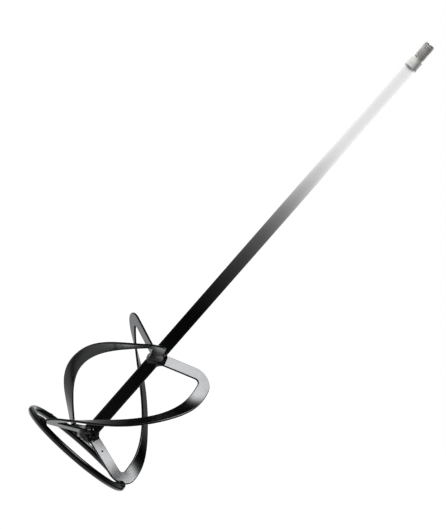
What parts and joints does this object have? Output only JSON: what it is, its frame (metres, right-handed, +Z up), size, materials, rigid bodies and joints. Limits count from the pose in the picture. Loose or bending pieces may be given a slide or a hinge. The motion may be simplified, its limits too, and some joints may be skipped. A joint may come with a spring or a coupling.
{
  "type": "mortar mixing paddle",
  "caption": "Welded mixing paddle: flat-bar blades wound as a right-handed helix round a tubular shaft, a round-rod ring underneath and a male spindle thread on top.",
  "frame": {"origin": "on the shaft axis, in the plane the ring stands on", "axes": "+Z up the shaft towards the spindle thread; +X along the lower arm of mixing_blade_1"},
  "size_m": [0.1423, 0.1425, 0.6],
  "materials": {
    "black_paint": "satin black dip paint over flat bar, rod and tube, with a soft wide highlight",
    "weld_paint": "the same black paint, thicker and glossier over rippled weld metal",
    "bare_steel": "turned, lightly oiled steel with fine circular tool marks"
  },
  "bodies": {
    "root": {"shaft_tube": "black_paint", "threaded_spigot": "bare_steel", "spigot_weld": "weld_paint", "lower_end_plug": "black_paint", "end_plug_weld": "weld_paint", "bottom_ring": "black_paint", "ring_butt_weld": "weld_paint", "mixing_blade_1": "black_paint", "mixing_blade_2": "black_paint", "mixing_blade_3": "black_paint", "lower_arm_weld_1": "weld_paint", "lower_arm_weld_2": "weld_paint", "lower_arm_weld_3": "weld_paint", "upper_arm_weld_1": "weld_paint", "upper_arm_weld_2": "weld_paint", "upper_arm_weld_3": "weld_paint", "ring_weld_1": "weld_paint", "ring_weld_2": "weld_paint", "ring_weld_3": "weld_paint"}
  },
  "joints": []
}
